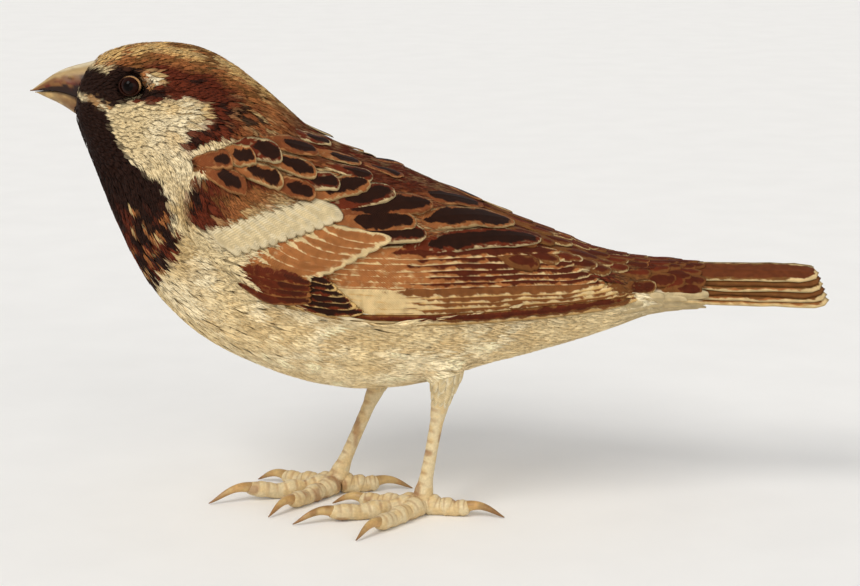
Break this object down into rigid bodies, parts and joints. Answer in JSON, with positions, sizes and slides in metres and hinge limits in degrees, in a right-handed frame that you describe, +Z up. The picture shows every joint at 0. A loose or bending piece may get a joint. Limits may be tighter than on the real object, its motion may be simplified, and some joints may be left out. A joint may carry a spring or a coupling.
{
  "type": "house sparrow",
  "caption": "Standing male songbird with a stout bill, black bib, folded wings and a straight tail, resting on its toes.",
  "frame": {"origin": "middle of the bounding box's floor, between the feet and level with their soles", "axes": "the bird faces -X, its tail points to +X, its left side faces -Y, +Z is up"},
  "size_m": [0.148, 0.0482, 0.0879],
  "materials": {
    "plumage_head": "soft matte feathers",
    "plumage_upper": "soft matte feathers with dark streaks",
    "plumage_under": "soft matte down",
    "plumage_wing": "smooth satin feathers with pale edges",
    "plumage_tail": "smooth satin feathers with pale edges",
    "bill": "satin horn",
    "eye": "wet gloss",
    "leg_skin": "satin scaly skin",
    "claw": "satin horn"
  },
  "bodies": {
    "root": {"head": "plumage_head", "neck": "plumage_head", "back": "plumage_upper", "breast": "plumage_under", "belly": "plumage_under", "rump": "plumage_upper", "vent": "plumage_under", "bill_upper": "bill", "bill_lower": "bill", "eye_left": "eye", "eye_right": "eye", "tail_left": "plumage_tail", "tail_right": "plumage_tail", "scapulars_left": "plumage_wing", "tertials_left": "plumage_wing", "wing_shoulder_left": "plumage_wing", "wing_coverts_left": "plumage_wing", "secondaries_left": "plumage_wing", "primaries_left": "plumage_wing", "thigh_left": "plumage_under", "tarsus_left": "leg_skin", "toe_middle_left": "leg_skin", "claw_middle_left": "claw", "toe_inner_left": "leg_skin", "claw_inner_left": "claw", "toe_outer_left": "leg_skin", "claw_outer_left": "claw", "toe_hind_left": "leg_skin", "claw_hind_left": "claw", "scapulars_right": "plumage_wing", "tertials_right": "plumage_wing", "wing_shoulder_right": "plumage_wing", "wing_coverts_right": "plumage_wing", "secondaries_right": "plumage_wing", "primaries_right": "plumage_wing", "thigh_right": "plumage_under", "tarsus_right": "leg_skin", "toe_middle_right": "leg_skin", "claw_middle_right": "claw", "toe_inner_right": "leg_skin", "claw_inner_right": "claw", "toe_outer_right": "leg_skin", "claw_outer_right": "claw", "toe_hind_right": "leg_skin", "claw_hind_right": "claw"}
  },
  "joints": []
}
